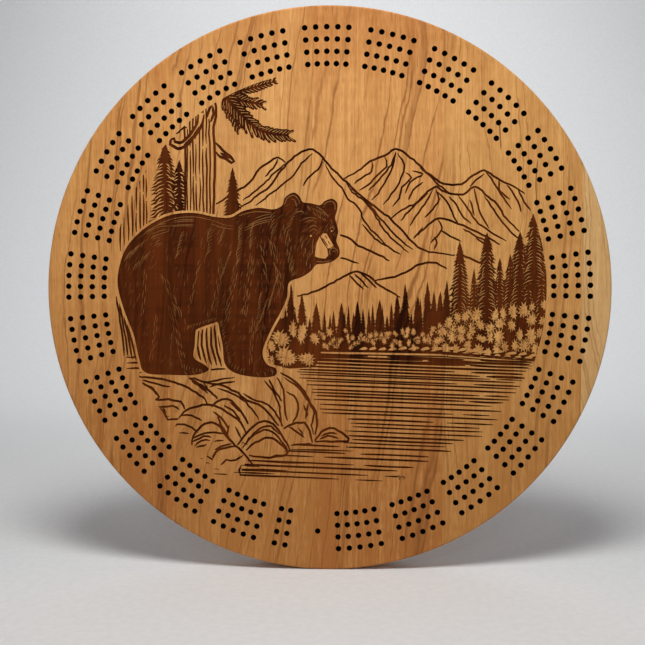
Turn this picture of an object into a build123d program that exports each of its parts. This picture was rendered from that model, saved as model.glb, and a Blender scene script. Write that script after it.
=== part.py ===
"""Round four-track cribbage board of edge-glued staves, with pegs stored in its back under a swivelling cover.

The board stands upright. X runs to the right across the playing face, Z runs up, and the playing face looks
towards -Y. The origin is under the lowest point of the rim, midway through the depth of the whole object.
"""

from build123d import *
import os
from math import cos, radians, sin, sqrt

# Board, millimetres.
board_diameter = 355.6
board_thickness = 19.0
edge_bevel = 1.2
glue_lines = [-97.0, -9.4, 72.7, 159.2]
stave_names = ["left_edge_stave", "left_stave", "centre_stave", "right_stave", "right_edge_stave"]

# Peg holes. Angles are in degrees, clockwise from +X as the playing face is seen.
peg_hole_diameter = 3.57
peg_hole_depth = 10.0
outer_track_radius = 164.4
track_spacing = 7.55
track_count = 4
street_count = 24
street_pitch = 14.4
column_pitch = 2.4
home_angle = 97.2
street_columns = [-2, -1, 0, 1, 2]
start_columns = [1, 2]
finish_column = -2

# Peg store, a pocket in the back centred on the board.
store_width = 38.0
store_height = 54.0
store_depth = 11.0
store_corner = 3.2

# Pegs, standing on the lower wall of the store in two layers.
peg_length = 34.0
peg_tip_radius = 1.2
peg_tip_round = 0.6
peg_shank_radius = 1.65
peg_shank_length = 14.0
peg_collar_radius = 2.2
peg_collar_slope = 0.6
peg_collar_length = 0.8
peg_grip_radius = 1.35
peg_head_radius = 2.2
peg_pitch_across = 5.2
peg_layer_depths = [2.6, 7.6]
pegs_in_layer = 6
peg_colours = ["red", "blue", "green", "yellow"]
pegs_per_colour = 3

# Cover and its pivot. Heights are above the board's centre.
cover_width = 50.0
cover_top = 47.0
cover_bottom = -43.0
cover_corner = 12.0
cover_thickness = 1.2
lip_width = 20.0
lip_height = 3.4
lip_bend = 1.0
pivot_height = 37.0
pivot_shank_radius = 2.0
pivot_shank_length = 8.0
pivot_head_radius = 4.4
pivot_head_height = 2.2
pivot_clearance = 0.08
thread_clearance = 0.02
axial_clearance = 0.05
shim_thickness = 0.5
washer_thickness = 0.8
washer_radius = 5.0
insert_radius = 3.2
insert_length = 9.5
slot_width = 1.0
slot_depth = 0.9
screw_point_chamfer = 0.4
magnet_height = -35.5
magnet_radius = 5.0
magnet_thickness = 3.0
magnet_chamfer = 0.3
glue_gap = 0.05

# Feet: four tapered bumpers on the back, each held by a pan-head screw.
foot_circle_radius = 125.0
foot_base_radius = 9.0
foot_tip_radius = 7.6
foot_height = 6.0
foot_edge = 0.8
foot_well_radius = 4.2
foot_well_depth = 3.0
foot_screw_radius = 1.75
foot_screw_length = 14.5
foot_screw_point = 1.0
foot_pilot_depth = 12.5
foot_screw_head_radius = 3.5
foot_screw_head_height = 2.0

# Overlap of a cutting tool with open air, and how closely an edge's place is matched.
cut_margin = 1.0
tolerance = 0.01

# Places worked out from the sizes above.
board_radius = board_diameter / 2
total_depth = board_thickness + foot_height
face_y = -total_depth / 2
back_y = face_y + board_thickness
cover_gap = shim_thickness + axial_clearance
washer_level = cover_gap + cover_thickness + axial_clearance
head_level = washer_level + washer_thickness
foot_offset = foot_circle_radius * cos(radians(45))


def face_plane(lift=0.0):
    """Plane parallel to the playing face, lift mm in front of it. Its x is +X and its y is up."""
    return Plane(origin=(0, face_y - lift, board_radius), x_dir=(1, 0, 0), z_dir=(0, -1, 0))


def back_plane(lift=0.0):
    """Plane parallel to the back, lift mm behind it. Its x is -X and its y is up."""
    return Plane(origin=(0, back_y + lift, board_radius), x_dir=(-1, 0, 0), z_dir=(0, 1, 0))


def peg_hole_places():
    """Centres of all peg holes on the playing face, measured from the board's centre."""

    def place(street, column, track):
        angle = radians(home_angle + street * street_pitch + column * column_pitch)
        radius = outer_track_radius - track * track_spacing
        return (radius * cos(angle), -radius * sin(angle))

    tracks = range(track_count)
    streets = range(1, street_count + 1)
    played = [place(s, c, t) for s in streets for c in street_columns for t in tracks]
    start = [place(0, c, t) for c in start_columns for t in tracks]
    finish = place(0, finish_column, (track_count - 1) / 2)
    return played + start + [finish]


def foot_places():
    """Centres of the four feet, in board coordinates. Left and right are as seen from the playing face."""
    return {
        "foot_upper_left": (-foot_offset, foot_offset),
        "foot_upper_right": (foot_offset, foot_offset),
        "foot_lower_left": (-foot_offset, -foot_offset),
        "foot_lower_right": (foot_offset, -foot_offset),
    }


def on_back(place):
    """A place given in board coordinates, in the back plane's own coordinates."""
    return (-place[0], place[1])


def save(piece, name):
    """Labels a finished piece and writes it to its own STEP file."""
    piece.part.label = name
    export_step(piece.part, f"parts/{name}.step")


def make_blank():
    """The whole glued-up disc with every hole and pocket, before it is told apart into staves."""
    with BuildPart() as blank:
        with BuildSketch(face_plane()):
            Circle(board_radius)
        extrude(amount=-board_thickness)
        chamfer(blank.edges().filter_by(GeomType.CIRCLE), length=edge_bevel)
        with BuildSketch(face_plane()):
            with Locations(*peg_hole_places()):
                Circle(peg_hole_diameter / 2)
        extrude(amount=-peg_hole_depth, mode=Mode.SUBTRACT)
        with BuildSketch(back_plane()):
            RectangleRounded(store_width, store_height, store_corner)
        extrude(amount=-store_depth, mode=Mode.SUBTRACT)
        with BuildSketch(back_plane()):
            with Locations((0, pivot_height)):
                Circle(insert_radius + glue_gap)
        extrude(amount=-(insert_length + glue_gap), mode=Mode.SUBTRACT)
        with BuildSketch(back_plane()):
            with Locations((0, magnet_height)):
                Circle(magnet_radius + glue_gap)
        extrude(amount=-(magnet_thickness + glue_gap), mode=Mode.SUBTRACT)
        with BuildSketch(back_plane()):
            with Locations(*[on_back(place) for place in foot_places().values()]):
                Circle(foot_screw_radius + thread_clearance)
        extrude(amount=-foot_pilot_depth, mode=Mode.SUBTRACT)
    return blank


def make_stave(blank, left, right):
    """The strip of the blank between two glue lines."""
    with BuildPart() as stave:
        add(blank.part)
        with BuildSketch(back_plane(cut_margin)):
            with Locations((-(left + right) / 2, 0)):
                Rectangle(right - left, board_diameter + 2 * cut_margin)
        extrude(amount=-(board_thickness + 2 * cut_margin), mode=Mode.INTERSECT)
    return stave


def make_peg(across, depth):
    """A turned peg standing on its tip: tapered shank, collar, narrow grip and rounded head."""
    foot = Vector(across, back_y - store_depth + depth, board_radius - store_height / 2)
    collar_start = peg_shank_length + peg_collar_slope
    collar_end = collar_start + peg_collar_length
    head_centre = peg_length - peg_head_radius
    grip_end = head_centre - sqrt(peg_head_radius**2 - peg_grip_radius**2)
    with BuildPart() as peg:
        with BuildSketch(Plane(origin=foot, x_dir=(1, 0, 0), z_dir=(0, -1, 0))):
            with BuildLine():
                Polyline(
                    (0, peg_length),
                    (0, 0),
                    (peg_tip_radius - peg_tip_round, 0),
                    (peg_tip_radius, peg_tip_round),
                    (peg_shank_radius, peg_shank_length),
                    (peg_collar_radius, collar_start),
                    (peg_collar_radius, collar_end),
                    (peg_grip_radius, collar_end + peg_collar_slope),
                    (peg_grip_radius, grip_end),
                )
                ThreePointArc((peg_grip_radius, grip_end), (peg_head_radius, head_centre), (0, peg_length))
            make_face()
        revolve(axis=Axis(foot, (0, 0, 1)))
    return peg


def make_cover():
    """Sheet-metal cover: a rounded plate with a pivot hole and a lip bent outwards at its free end."""
    middle = (cover_top + cover_bottom) / 2
    with BuildPart() as cover:
        with BuildSketch(back_plane(cover_gap)):
            with Locations((0, middle)):
                RectangleRounded(cover_width, cover_top - cover_bottom, cover_corner)
            with Locations((0, pivot_height)):
                Circle(pivot_shank_radius + pivot_clearance, mode=Mode.SUBTRACT)
        extrude(amount=cover_thickness)
        with BuildSketch(back_plane(cover_gap)):
            with Locations((0, cover_bottom)):
                Rectangle(lip_width, cover_thickness, align=(Align.CENTER, Align.MIN))
        extrude(amount=lip_height)
        lip_top = board_radius + cover_bottom + cover_thickness
        lip_edges = cover.edges().filter_by(Axis.X).filter_by_position(
            Axis.Z, lip_top - tolerance, lip_top + tolerance
        )
        fillet(lip_edges.sort_by(Axis.Y)[0], radius=lip_bend)
    return cover


def make_ring(inner_radius, outer_radius, level, thickness):
    """A flat washer around the pivot, level mm behind the back."""
    with BuildPart() as ring:
        with BuildSketch(back_plane(level)):
            with Locations((0, pivot_height)):
                Circle(outer_radius)
                Circle(inner_radius, mode=Mode.SUBTRACT)
        extrude(amount=thickness)
        fillet(ring.edges().group_by(Axis.Y)[-1].sort_by(SortBy.RADIUS)[-1], radius=thickness / 4)
    return ring


def make_pivot_screw():
    """Slotted pan-head machine screw that the cover turns on."""
    with BuildPart() as screw:
        with BuildSketch(back_plane(head_level)):
            with Locations((0, pivot_height)):
                Circle(pivot_head_radius)
        extrude(amount=pivot_head_height)
        fillet(screw.edges().group_by(Axis.Y)[-1], radius=pivot_head_height / 2)
        with BuildSketch(back_plane(head_level + pivot_head_height)):
            with Locations((0, pivot_height)):
                Rectangle(2 * pivot_head_radius + cut_margin, slot_width)
        extrude(amount=-slot_depth, mode=Mode.SUBTRACT)
        with BuildSketch(back_plane(head_level)):
            with Locations((0, pivot_height)):
                Circle(pivot_shank_radius)
        extrude(amount=-(head_level + pivot_shank_length))
        chamfer(screw.edges().group_by(Axis.Y)[0], length=screw_point_chamfer)
    return screw


def make_insert():
    """Brass threaded insert, flush with the back, that takes the pivot screw."""
    with BuildPart() as insert:
        with BuildSketch(back_plane()):
            with Locations((0, pivot_height)):
                Circle(insert_radius)
                Circle(pivot_shank_radius + thread_clearance, mode=Mode.SUBTRACT)
        extrude(amount=-insert_length)
    return insert


def make_magnet():
    """Disc magnet, flush with the back below the store, that holds the cover shut."""
    with BuildPart() as magnet:
        with BuildSketch(back_plane()):
            with Locations((0, magnet_height)):
                Circle(magnet_radius)
        extrude(amount=-magnet_thickness)
        chamfer(magnet.edges().filter_by(GeomType.CIRCLE), length=magnet_chamfer)
    return magnet


def make_foot(place):
    """Tapered rubber bumper with a well for its screw head."""
    with BuildPart() as foot:
        with BuildSketch(back_plane()):
            with Locations(on_back(place)):
                Circle(foot_base_radius)
        with BuildSketch(back_plane(foot_height)):
            with Locations(on_back(place)):
                Circle(foot_tip_radius)
        loft()
        fillet(foot.edges().group_by(Axis.Y)[-1], radius=foot_edge)
        with BuildSketch(back_plane()):
            with Locations(on_back(place)):
                Circle(foot_screw_radius + glue_gap)
        extrude(amount=foot_height, mode=Mode.SUBTRACT)
        with BuildSketch(back_plane(foot_height)):
            with Locations(on_back(place)):
                Circle(foot_well_radius)
        extrude(amount=-foot_well_depth, mode=Mode.SUBTRACT)
    return foot


def make_foot_screws():
    """Four identical pan-head wood screws, one in each foot."""
    seat = foot_height - foot_well_depth
    with BuildPart() as screws:
        with BuildSketch(back_plane(seat)):
            with Locations(*[on_back(place) for place in foot_places().values()]):
                Circle(foot_screw_head_radius)
        extrude(amount=foot_screw_head_height)
        fillet(screws.edges().group_by(Axis.Y)[-1], radius=foot_screw_head_height / 3)
        with BuildSketch(back_plane(seat)):
            with Locations(*[on_back(place) for place in foot_places().values()]):
                Circle(foot_screw_radius)
        extrude(amount=-foot_screw_length)
        chamfer(screws.edges().group_by(Axis.Y)[0], length=foot_screw_point)
    return screws


def peg_places():
    """Name, distance across and depth of each peg, one colour after another along the two layers."""
    names = [f"peg_{colour}_{n + 1}" for colour in peg_colours for n in range(pegs_per_colour)]
    first = -(pegs_in_layer - 1) / 2 * peg_pitch_across
    across_places = [first + i * peg_pitch_across for i in range(pegs_in_layer)]
    spots = [(across, depth) for depth in peg_layer_depths for across in across_places]
    return [(name, across, depth) for name, (across, depth) in zip(names, spots)]


os.makedirs("parts", exist_ok=True)

board_blank = make_blank()
stave_edges = [-board_radius - cut_margin] + glue_lines + [board_radius + cut_margin]
for name, left, right in zip(stave_names, stave_edges, stave_edges[1:]):
    save(make_stave(board_blank, left, right), name)

for name, across, depth in peg_places():
    save(make_peg(across, depth), name)

save(make_cover(), "cover_plate")
save(make_ring(pivot_shank_radius + thread_clearance, washer_radius, 0, shim_thickness), "cover_shim")
save(
    make_ring(pivot_shank_radius + thread_clearance, washer_radius, washer_level, washer_thickness),
    "cover_washer",
)
save(make_pivot_screw(), "pivot_screw")
save(make_insert(), "threaded_insert")
save(make_magnet(), "catch_magnet")

for name, place in foot_places().items():
    save(make_foot(place), name)
save(make_foot_screws(), "foot_screws")
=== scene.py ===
"""Looks of the round cribbage board: solid cherry with a burnt-in lake picture, its store, cover and feet.

Places on the board are in millimetres from its centre, x to the right and y up as the playing face is seen.
Depths are in millimetres below the surface they are cut into.
"""

from math import acos, atan2, ceil, cos, hypot, pi, radians, sin, sqrt
from random import Random

import bpy
from mathutils import Matrix, Vector
from mathutils.geometry import delaunay_2d_cdt


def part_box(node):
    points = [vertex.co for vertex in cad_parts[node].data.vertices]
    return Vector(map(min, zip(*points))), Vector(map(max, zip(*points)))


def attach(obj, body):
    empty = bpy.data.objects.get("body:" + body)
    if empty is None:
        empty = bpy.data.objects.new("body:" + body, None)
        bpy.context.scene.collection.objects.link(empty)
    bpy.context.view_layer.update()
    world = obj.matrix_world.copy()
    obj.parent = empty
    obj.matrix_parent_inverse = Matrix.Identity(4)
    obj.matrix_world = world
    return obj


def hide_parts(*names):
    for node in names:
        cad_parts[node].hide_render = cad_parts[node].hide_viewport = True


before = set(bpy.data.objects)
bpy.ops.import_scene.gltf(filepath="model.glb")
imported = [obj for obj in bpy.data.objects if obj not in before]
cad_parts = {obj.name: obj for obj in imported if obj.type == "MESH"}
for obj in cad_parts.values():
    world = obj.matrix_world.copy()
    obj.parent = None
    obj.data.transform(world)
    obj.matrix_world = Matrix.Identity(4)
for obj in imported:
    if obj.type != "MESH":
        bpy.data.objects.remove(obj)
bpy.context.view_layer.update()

# ---------------- sizes

MM = 0.001
face_low, face_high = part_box("centre_stave")
face_y = face_low.y
thickness = (face_high.y - face_low.y) / MM
board_radius = (face_high.z - face_low.z) / 2 / MM
centre_height = (face_high.z + face_low.z) / 2
rim_round = 1.2

stave_names = ["left_edge_stave", "left_stave", "centre_stave", "right_stave", "right_edge_stave"]

hole_radius = 1.785
hole_depth = 10.0
hole_corners = 24
outer_track_radius = 164.4
track_spacing = 7.55
track_count = 4
street_count = 24
street_pitch = 14.4
column_pitch = 2.4
home_angle = 97.2
street_columns = (-2, -1, 0, 1, 2)
start_columns = (1, 2)
finish_column = -2

store_width, store_height, store_depth, store_corner = 38.0, 54.0, 11.0, 3.2
insert_place, insert_radius, insert_depth = (0, 37.0), 3.25, 9.55
magnet_place, magnet_radius, magnet_depth = (0, -35.5), 5.05, 3.05
foot_offset, pilot_radius, pilot_depth = 88.388, 1.77, 12.5

# How strongly the surface is burnt, which also sets how deep the engraving is.
# CHARRED marks the peg holes, which are painted near black: charring and painted shade of the deep holes.
BARE, SINGED, BURNT, CHARRED = 0.0, 0.62, 1.0, 2.0
engraving_depth = 0.4
picture_radius = 137.3
seed = 7


# ---------------- drawing

def between(t, a, b, c, d):
    """The value a share t of the way from b to c, on a Catmull-Rom curve through a, b, c and d."""
    squared = (2 * a - 5 * b + 4 * c - d) * t * t
    return 0.5 * (2 * b + (c - a) * t + squared + (3 * b - a - 3 * c + d) * t ** 3)


def smooth(points, step=1.6, closed=False):
    """Points about step mm apart along a Catmull-Rom curve through the given points."""
    count = len(points)
    spans = count if closed else count - 1

    def at(i):
        return points[i % count] if closed else points[min(max(i, 0), count - 1)]

    curve = []
    for i in range(spans):
        p, q, r, s = at(i - 1), at(i), at(i + 1), at(i + 2)
        pieces = max(1, round(hypot(r[0] - q[0], r[1] - q[1]) / step))
        for k in range(pieces):
            curve.append(tuple(between(k / pieces, *values) for values in zip(p, q, r, s)))
    return curve if closed else curve + [points[-1]]


def ribbon(path, width, tips=0.25):
    """Outline of a line along path: full width in the middle and tips times that at its ends."""
    last = len(path) - 1
    left, right = [], []
    for i, (x, y) in enumerate(path):
        before, after = path[max(i - 1, 0)], path[min(i + 1, last)]
        along = Vector((after[0] - before[0], after[1] - before[1])).normalized()
        swell = tips + (1 - tips) * min(1.0, 2.2 * sin(pi * i / last))
        across = Vector((-along.y, along.x)) * width / 2 * swell
        left.append((x + across.x, y + across.y))
        right.append((x - across.x, y - across.y))
    return left + right[::-1]


def shaken(path, rng, amount):
    """The path with its inner points pushed aside a little, as a hand-cut line wanders."""
    inner = [(x + rng.uniform(-amount, amount), y + rng.uniform(-amount, amount)) for x, y in path[1:-1]]
    return [path[0]] + inner + [path[-1]]


origin = (0, 0)


def polar(centre, radius, angle):
    """The point at a radius and an angle round a centre."""
    return (centre[0] + radius * cos(angle), centre[1] + radius * sin(angle))


def arc(radius, start, end, pieces):
    """Points along an arc about the board's centre, evenly spread over a number of pieces."""
    return [polar(origin, radius, start + (end - start) * i / pieces) for i in range(pieces + 1)]


def circle(centre, radius, count):
    """A polygon of count corners round a circle."""
    return [polar(centre, radius, 2 * pi * i / count) for i in range(count)]


def inside(point, polygon):
    """Whether a point is inside a polygon."""
    x, y = point
    odd = False
    for (ax, ay), (bx, by) in zip(polygon, polygon[1:] + polygon[:1]):
        if (ay > y) != (by > y) and x < (bx - ax) * (y - ay) / (by - ay) + ax:
            odd = not odd
    return odd


class Picture:
    """Areas of the picture in the order they are drawn, later ones over earlier ones."""

    def __init__(self):
        self.areas = []

    def area(self, polygon, tone):
        self.areas.append((polygon, tone))

    def shape(self, points, tone, step=1.6):
        self.area(smooth(points, step, closed=True), tone)

    def line(self, points, width=0.9, tone=BURNT, tips=0.3, step=1.6):
        self.area(ribbon(smooth(points, step), width, tips), tone)

    def cut(self, points, rng, width, tips=0.4, shake=0.35, step=2.6):
        """A burnt line that wanders a little."""
        self.area(ribbon(shaken(smooth(points, step), rng, shake), width, tips), BURNT)

    def cuts(self, strokes, rng, width, tips=0.4):
        """Several such lines."""
        for stroke in strokes:
            self.cut(stroke, rng, width, tips)

    def straight(self, points, width=0.9, tone=BURNT, tips=0.3):
        self.area(ribbon(points, width, tips), tone)


# ---------------- the picture

bear_outline = [
    (-133, 4), (-131.5, 17), (-127, 28), (-119, 37), (-109, 44), (-98, 48.5), (-84, 49.5), (-71, 47),
    (-61, 46.5), (-53, 50.5), (-43, 52.5), (-34, 51.5), (-28.2, 54), (-26.3, 59), (-21, 62), (-17.3, 59.5),
    (-15.3, 56), (-10, 55.2), (-4.5, 54), (-1.5, 56.5), (3, 58), (6.3, 55.5), (6.2, 50.5), (5, 46.3),
    (6, 42), (7, 37.5), (5.8, 31.5), (7.6, 27), (7.6, 22.5), (3.8, 19), (-2, 17.3), (-7, 16.6),
    (-10.5, 12.5), (-16, 9), (-24, 5.5), (-25.5, -4), (-30, -14), (-36, -25), (-41, -38), (-38.5, -46),
    (-32.5, -49), (-33.5, -53.5), (-44, -54.5), (-58, -52), (-65, -46), (-66.5, -34), (-68.3, -25),
    (-69.4, -19.6), (-72, -20), (-82, -23.6), (-83.6, -26), (-84.2, -34), (-84.8, -42), (-78, -46.6),
    (-75.5, -50), (-84, -53), (-100, -53), (-116, -51.5), (-120, -42), (-123, -28), (-129, -12)]


# Crest lines of the peaks, and of the low hills in front.
ridges = [
    [(-70, 55), (-57, 63), (-50, 67), (-44, 75), (-38, 80), (-31, 84), (-26, 80.5)],
    [(-62, 49), (-54, 53), (-44, 60), (-36, 66), (-30, 74), (-24, 81), (-16, 87), (-9, 88.5), (-3, 84),
     (3, 77), (10, 70), (19, 62), (30, 53), (40, 45), (48, 37), (55, 29), (64, 24.5), (80, 22.5)],
    [(10, 70), (19, 75), (27, 81), (36, 84.5), (43, 88.5), (50, 85), (58, 78), (66, 71), (73, 67),
     (84, 66.5), (91, 72), (98, 75), (106, 70), (116, 65), (124, 60)],
    [(40, 45.5), (49, 52), (56, 55), (63, 62), (68, 65), (74, 61.5), (85, 60.5), (92, 65), (99, 60),
     (106, 54), (112, 45), (120, 37)],
    [(57, 35), (63, 41), (69, 45.5), (76, 44.5), (85, 41), (97, 35), (108, 29)],
    [(-19, -3), (-12, -1.6), (-5, 1), (4, 5.5), (12, 10), (19, 12.5), (26, 9.5), (33, 3.5), (46, -4)],
    [(30, 6.5), (40, 8.5), (49, 11.5), (57, 16.5), (66, 18), (75, 14)],
    [(6, 35.5), (13, 34), (20, 28.5), (30, 24), (39, 19)], [(82, 23.5), (97, 17)]]
# Lines that run down from the crests.
slopes = [
    [(-31, 83), (-34, 77), (-39, 72)], [(-26, 80), (-33, 74), (-44, 64), (-53, 57)],
    [(-9, 86), (-16, 80), (-21, 73), (-32, 64), (-45, 54)], [(-3, 83), (-4, 78), (-12, 71), (-15, 66)],
    [(-1, 80), (2, 73), (9, 65), (13, 58), (20, 52), (23, 44), (31, 35), (39, 27)],
    [(12, 68), (16, 62), (24, 56), (31, 46), (36, 38), (44, 30), (51, 24)],
    [(15, 64), (23, 58), (30, 50), (37, 41), (45, 33), (54, 26)], [(22, 42), (30, 33), (38, 28), (46, 23)],
    [(28, 81), (28, 75), (22, 71), (17, 67)], [(36, 84), (37, 78), (31, 72), (25, 66), (20, 63)],
    [(43, 87), (40, 79), (34, 71), (26, 63)], [(43, 87), (41, 78), (36, 68), (32, 61), (28, 57)],
    [(44, 86), (48, 79), (47, 72), (42, 63), (35, 54)], [(49, 74), (53, 71), (47, 65), (45, 58), (41, 53)],
    [(53, 75), (60, 73), (52, 68), (49, 61)], [(58, 77), (64, 72), (70, 66), (78, 60)],
    [(60, 68), (54, 63), (51, 57)], [(63, 61), (57, 56), (51, 50), (46, 44)],
    [(66, 63), (61, 54), (56, 48), (52, 41)], [(68, 63), (70, 57), (66, 51), (61, 46)],
    [(69, 62), (75, 56), (79, 47), (82, 42)], [(76, 59), (81, 53), (85, 46), (90, 42)],
    [(82, 60), (88, 51), (95, 42), (105, 35), (112, 31)], [(92, 64), (94, 53), (98, 44), (101, 39)],
    [(89, 57), (91, 52), (92, 47)], [(98, 59), (104, 51), (111, 41), (121, 31)],
    [(98, 73), (93, 69), (89, 65)], [(99, 74), (105, 66), (110, 58), (115, 51)],
    [(107, 69), (108, 62), (114, 57)], [(112, 66), (118, 58), (121, 49)], [(119, 63), (123, 55), (127, 50)],
    [(69, 45), (72, 40), (70, 36), (65, 30)], [(71, 38), (77, 34), (84, 31)], [(67, 34), (69, 30), (67, 26)],
    [(85, 39), (94, 34), (103, 29)], [(93, 33), (101, 27)], [(60, 40), (57, 36), (54, 33)],
    [(7, 21), (14, 19.5), (20, 17.5)], [(14, 10), (19, 5), (23, 1)], [(17, 11), (22, 6), (26, 2)],
    [(21, 11), (26, 7), (31, 2)]]


def draw_mountains(picture, rng):
    """Three ranges of peaks with their slope lines, and low hills in front."""
    picture.cuts(ridges, rng, 1.4, tips=0.6)
    picture.cuts(slopes, rng, 1.2)


def draw_pine(picture, rng, x, top, base, spread, gaps=0.0):
    """A conifer with drooping, ragged boughs. Gaps is the width of the light strokes between them."""
    tier_height, narrowing, least_tiers = 2.1, 0.55, 6
    tiers = max(least_tiers, int((top - base) / tier_height))
    drop = (top - base) / tiers
    left, right = [], []
    for i in range(1, tiers + 1):
        y = top - drop * i
        for side, edge in ((-1, left), (1, right)):
            reach = side * (spread * (i / tiers) ** narrowing * rng.uniform(0.78, 1.15))
            edge.append((x + reach * 0.8, y + drop * 0.15))
            edge.append((x + reach, y - drop * rng.uniform(0.3, 0.8)))
            edge.append((x + reach * 0.62, y - drop * 0.25))
    picture.area([(x, top + 2)] + left + [(x, base)] + right[::-1], BURNT)
    y = top - (top - base) * 0.2
    while gaps and y > base:
        down = (top - y) / (top - base)
        for side in (-1, 1):
            start = rng.uniform(0.08, 0.3)
            end = rng.uniform(0.5, 0.6 + 0.45 * gaps)
            reach = spread * down ** narrowing
            fall = reach * rng.uniform(0.25, 0.5)
            reach *= side
            stroke = [(x + reach * start, y), (x + reach * (start + end) / 2, y - fall * 0.3),
                      (x + reach * end, y - fall)]
            picture.straight(stroke, gaps * rng.uniform(0.75, 1.25), BARE)
        y -= rng.uniform(1.7, 2.6)


trunk_edges = [
    ([(-89.8, 44), (-89.4, 76), (-89.6, 104)], 1.4), ([(-88, 44), (-88, 75), (-87.8, 102)], 0.9),
    ([(-71.6, 44), (-70.8, 84), (-71.4, 103), (-69.3, 110), (-70.5, 120)], 1.7),
    ([(-73.6, 44), (-73.6, 80), (-74, 108)], 1.1)]
broken_off = [
    (-81, 112), (-81.5, 106), (-84.4, 100.5), (-88.6, 95.8), (-92.8, 93.4), (-95.4, 94.2), (-96, 96),
    (-98.4, 95.6), (-98.8, 92.5), (-96, 90.6), (-91.8, 90.2), (-86.5, 93.6), (-81.8, 99), (-78.6, 104.5),
    (-77, 111)]
stubs = [
    [(-90, 92), (-84, 97), (-80.5, 103)], [(-95, 99), (-92, 101.5), (-88, 103)], [(-79, 112), (-75, 119)],
    [(-76, 108), (-73, 116), (-71.5, 121)], [(-73, 106), (-71, 111), (-71.5, 116)],
    [(-70.4, 93.5), (-65.5, 88.6), (-60.8, 85), (-58.2, 81.6), (-59.9, 81), (-63.4, 83), (-67.1, 84.2),
     (-69.6, 87.6)],
    [(-67, 87), (-63.5, 84.8), (-61, 83.4)], [(-91.8, 61.6), (-96, 55), (-101, 48)]]


def draw_bark(picture, rng, x, foot, top, lengths, gap, widths, overrun):
    """An upright line in broken lengths. Overrun is how far the last of them may pass the top."""
    y = foot
    while y < top:
        length = rng.uniform(*lengths)
        picture.cut([(x, y), (x, min(y + length, top + overrun))], rng, rng.uniform(*widths), step=8)
        y += length + rng.uniform(0.8, gap)


def draw_trunks(picture, rng):
    """The trunk behind the bear, its broken stubs, and the edge of another at the left."""
    for edge, width in trunk_edges:
        picture.cut(edge, rng, width, tips=0.8, step=6)
    for x in (-86, -84.2, -82.4, -80, -78, -75.8):
        draw_bark(picture, rng, x, rng.uniform(44, 48), 108, (18, 46), 3, (0.9, 1.25), 46)
    for x in (-131, -128.4, -125.8, -123.2, -120.6, -118, -116, -114.2):
        foot = 24 + (x + 131) * 0.9 + rng.uniform(0, 3)
        top = 56 + (x + 131) * 2.0
        draw_bark(picture, rng, x, foot, top, (12, 30), 4, (0.9, 1.3), 3)
    picture.shape(broken_off, BARE)
    picture.cut(broken_off, rng, 2.0)
    picture.cuts(stubs, rng, 1.8)


def draw_bough(picture, rng, stem, needle, droop=1.0):
    """A conifer bough: blunt needles swept forward from both sides of a stem, those below longer by droop."""
    stem_width, needle_width, gap_width, bend = 1.5, 1.75, 0.5, 0.25
    path = smooth(stem, 2.4)
    picture.area(ribbon(path, stem_width, 0.5), BURNT)
    gaps = []
    for i, ((ax, ay), (bx, by)) in enumerate(zip(path, path[1:])):
        heading = atan2(by - ay, bx - ax)
        for side in (-1, 1):
            angle = heading + side * radians(rng.uniform(34, 46))
            length = needle * rng.uniform(0.8, 1.1) * (1 - 0.45 * i / len(path)) * (droop if side < 0 else 1)
            middle = polar((ax, ay), length * 0.5, angle)
            tip = polar(middle, length * 0.5, angle - side * bend)
            picture.line([(ax, ay), middle, tip], needle_width, BURNT, tips=0.75)
            root = polar((ax + (bx - ax) / 2, ay + (by - ay) / 2), length * 0.2, angle)
            gaps.append([root, polar(root, length * 0.5, angle)])
    for gap in gaps:
        picture.straight(gap, gap_width, BARE, tips=0.5)


def draw_leaves(picture, rng, x, y, width, height):
    """A leafy clump: bare toothed lobes grown into one another, with a burnt outline and a few veins."""
    outline_width, vein_width = 1.2, 0.7
    lobes = []
    for i in range(2 + int(width * height / 12)):
        angle, size = rng.uniform(0, 2 * pi), rng.uniform(0.55, 0.75)
        teeth, turn = int(5.5 + 0.7 * width), rng.uniform(0, pi)
        middle = polar(origin, 1 - size, angle)
        lobe = []
        for tooth in range(2 * teeth):
            reach = size * (rng.uniform(1.0, 1.35) if tooth % 2 == 0 else rng.uniform(0.42, 0.62))
            lobe.append(polar(middle, reach, turn + pi * tooth / teeth))
        lobes.append(lobe)
    for grow, tone in ((outline_width, BURNT), (0.0, BARE)):
        for lobe in lobes:
            picture.area([(x + (width + grow) * u, y + (height + grow) * v) for u, v in lobe], tone)
    for i in range(int(1 + 0.4 * width * height)):
        side, rise, length = rng.choice((-1, 1)), rng.uniform(-0.6, 0.5), rng.uniform(0.8, 2.0)
        start = (x + side * width * rng.uniform(0.1, 0.5), y + height * rise)
        picture.straight([start, (start[0] + side * length, start[1] + length * 0.6)], vein_width)


def shore_top(x):
    """Upper edge of the undergrowth along the far shore."""
    return -28 + max(0, x - 55) * 0.24 + 1.2 * sin(x / 6)


def strewn(rng, start, end, least, most):
    """Places from start to end, each a random step beyond the one before."""
    place = start
    while place < end:
        yield place
        place += rng.uniform(least, most)


# The far shore's conifers: middle and top of the small ones; middle, top, foot and spread of the large.
shore_pines = [
    (-23, 4), (-16, -3), (-7, -9), (9, -9), (19, -8), (33, -7), (44, -4), (49, 3), (57, -5), (63, 4), (67, -2),
    (71, -2), (75, 5)]
large_pines = [
    (92, 12, -26, 5), (108, 19, -14, 5.5), (114.5, 21, -10, 6), (102, 6, -20, 6), (83, 29, -32, 9.5),
    (100, 35, -20, 10), (120.5, 35, -14, 10), (129.5, 49, 2, 10.5), (134, 8, -14, 6), (126, 4, -16, 7)]
pine_foot = -34


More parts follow.
